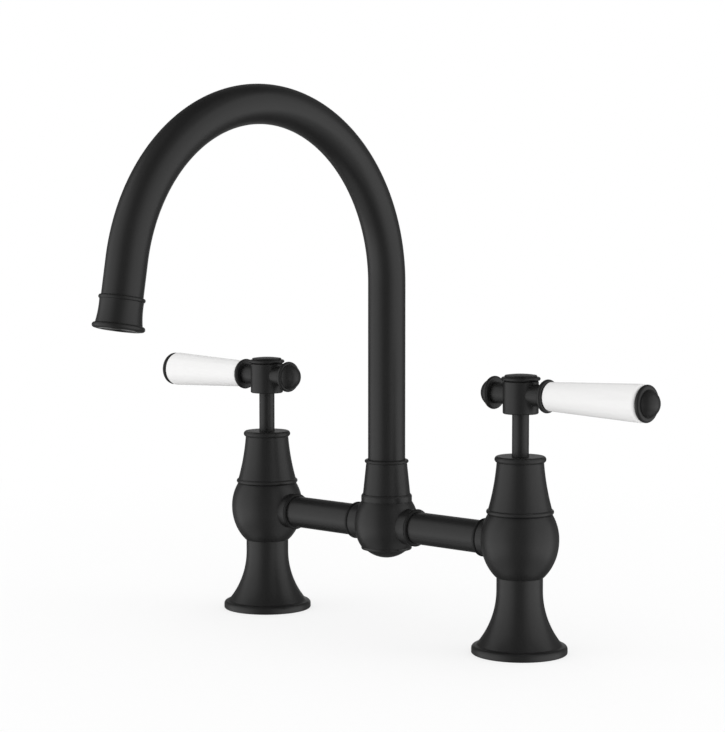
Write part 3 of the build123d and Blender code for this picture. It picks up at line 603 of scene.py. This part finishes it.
counter_material = bpy.data.materials.new("pale_counter")
counter_material.use_nodes = True
counter = NodeTree(counter_material.node_tree)
counter.tree.nodes.clear()
place = counter.node("ShaderNodeTexCoord").outputs["Object"]
distance = counter.field(
    counter.node("ShaderNodeVectorMath", {"operation": "LENGTH"}, {0: place}), "Value"
)
far = counter.field(counter.node("ShaderNodeMapRange", smooth_step, {
    "Value": distance,
    "From Min": melt_starts,
    "From Max": melt_ends,
}))
paint = counter.node("ShaderNodeBsdfDiffuse", inputs={"Color": grey(counter_white)})
seen = seen_or_mirrored(counter)
glow = counter.node("ShaderNodeEmission", inputs={
    "Color": grey(1.0),
    "Strength": underside_fill_glow + seen * (1 - underside_fill_glow),
})
share = seen * (glow_share + far * (1 - glow_share) - underside_fill_share) + underside_fill_share
layers = {0: share, 1: paint.outputs[0], 2: glow.outputs[0]}
mixed = counter.node("ShaderNodeMixShader", inputs=layers)
counter.node("ShaderNodeOutputMaterial", inputs={"Surface": mixed.outputs[0]})
floor_mesh.materials.append(counter_material)
print("counter:", floor_half * 2, "m across")

# %% Soft boxes
middle_height = 0.16
box_azimuth = 80
box_distance = 1.0
box_width, box_height = 0.55, 1.5
left_radiance, right_radiance = 0.7, 1.0


def around(azimuth, distance, height):
    """A place at an azimuth from the camera's direction, in degrees, seen from the tap's middle."""
    angle = camera_azimuth + radians(azimuth)
    return Vector((distance * sin(angle), -distance * cos(angle), height))


def soft_box(name, azimuth, radiance):
    """An area light that faces the tap. Mirrors see the glowing dome of the next cells instead."""
    light = bpy.data.lights.new(name, "AREA")
    light.shape = "RECTANGLE"
    light.size = box_width
    light.size_y = box_height
    light.energy = radiance * pi * box_width * box_height
    lamp = bpy.data.objects.new(name, light)
    lamp.location = around(azimuth, box_distance, middle_height)
    away_from_tap = lamp.location - Vector((0, 0, middle_height))
    lamp.rotation_euler = away_from_tap.to_track_quat("Z", "Y").to_euler()
    lamp.visible_camera = False
    lamp.visible_glossy = False
    scene.collection.objects.link(lamp)
    print("soft box:", name, "energy", round(light.energy, 2))


soft_box("left_soft_box", -box_azimuth, left_radiance)
soft_box("right_soft_box", box_azimuth, right_radiance)

# %% [markdown]
# ## A glowing dome that paints the reflections
# Satin black shows only what it mirrors, so the room that it mirrors is a wide dome of grey and
# white sheets. They are no paper that a lamp lights: they glow by themselves and only mirrors see
# them, so their levels are painted reflections. The sides of the dome are bright, most of all below
# the tap's own height, a painted reflection of light that comes back from a pale floor. It is dark
# in front, behind and overhead, which gives every tube a dark middle between two long bands of
# light. A low bright strip straight behind paints a highlight on the flat tops. Each sheet has one
# level, which is a product of two short lists, one for the way round the tap and one for the
# height. The dome stands far away, so every part of the tap mirrors the same room. It is there for
# reflections only, and the counter isn't, so it doesn't hide the dome's lower half.

# %% Glow levels of the dome
dome_radius = 8.0
dome_turn = -5
dome_glow_strength = 0.74
# Each level holds from its angle in degrees up to the next one. The way round starts at the
# camera's side and is the same to the left and right; heights go from straight below to overhead.
round_levels = {0: 0.13, 25: 0.62, 45: 1.0, 75: 1.0, 100: 0.95, 115: 0.17, 145: 0.14, 165: 0.25}
height_levels = {-90: 0.2, -70: 0.7, -30: 1.45, -8: 1.2, 15: 1.0, 45: 0.27, 75: 0.02}
straight_behind, overhead = 180, 90
# painted highlight: a brighter strip of glow straight behind, which the flat tops mirror
strip_azimuth, strip_height = 165, -8
strip_glow = 0.35


def spans(levels, end):
    """Start, end and level of each step in a list of levels."""
    starts = list(levels)
    return list(zip(starts, starts[1:] + [end], levels.values()))


def cuts(start, end, longest=10):
    """Places that cut a span into equal lengths."""
    count = max(1, round((end - start) / longest))
    return [start + (end - start) * step / count for step in range(count + 1)]


print("paper:", len(round_levels) * 2 * len(height_levels), "sheets")

# %% Glowing dome
sheet_corners, sheet_faces, sheet_glow = [], [], []
for low, high, height_level in spans(height_levels, overhead):
    for start, end, round_level in spans(round_levels, straight_behind):
        glow = round_level * height_level
        if (start, low) == (strip_azimuth, strip_height):
            glow += strip_glow
        for left, right in ((start, end), (-end, -start)):
            columns, rows = cuts(left + dome_turn, right + dome_turn), cuts(low, high)
            first = len(sheet_corners)
            for azimuth in columns:
                for rise in rows:
                    flat, up = dome_radius * cos(radians(rise)), dome_radius * sin(radians(rise))
                    sheet_corners.append(tuple(around(azimuth, flat, middle_height + up)))
                    sheet_glow.append(glow)
            rise_count = len(rows)
            for column in range(len(columns) - 1):
                for row in range(rise_count - 1):
                    corner = first + column * rise_count + row
                    beside = corner + rise_count
                    sheet_faces.append((corner, beside, beside + 1, corner + 1))
dome_mesh = bpy.data.meshes.new("glowing_reflection_dome")
dome_mesh.from_pydata(sheet_corners, [], sheet_faces)
dome_mesh.attributes.new("glow", "FLOAT", "POINT").data.foreach_set("value", sheet_glow)

# The dome's material is a glow of its own, not lit paper: its levels are painted reflections.
dome_material = bpy.data.materials.new("paper")
dome_material.use_nodes = True
paper = NodeTree(dome_material.node_tree)
paper.tree.nodes.clear()
level = paper.node("ShaderNodeAttribute", {"attribute_name": "glow"}).outputs["Fac"]
shine = paper.node("ShaderNodeEmission", inputs={"Color": level, "Strength": dome_glow_strength})
paper.node("ShaderNodeOutputMaterial", inputs={"Surface": shine.outputs[0]})
dome_mesh.materials.append(dome_material)

dome = bpy.data.objects.new("glowing_reflection_dome", dome_mesh)
scene.collection.objects.link(dome)
for kind in ("camera", "diffuse", "transmission", "shadow", "volume_scatter"):
    setattr(dome, "visible_" + kind, False)
floor.visible_glossy = False
print("paper dome:", len(sheet_faces), "faces")

# %% [markdown]
# ## Each piece on its body
# The levers and the spout move, so a grown piece rides on the body that carries it, and the CAD
# solid that it stands for is hidden. Solidify gives the gooseneck its wall.

# %% Ride and replace
tube_shell = tube.modifiers.new("wall", "SOLIDIFY")
tube_shell.thickness = tube_wall
tube_shell.offset = -1.0
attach(tube, "spout")
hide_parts("spout_tube")
for side, sleeve in sleeves.items():
    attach(sleeve, side + "_lever")
    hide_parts(side + "_ceramic_grip")
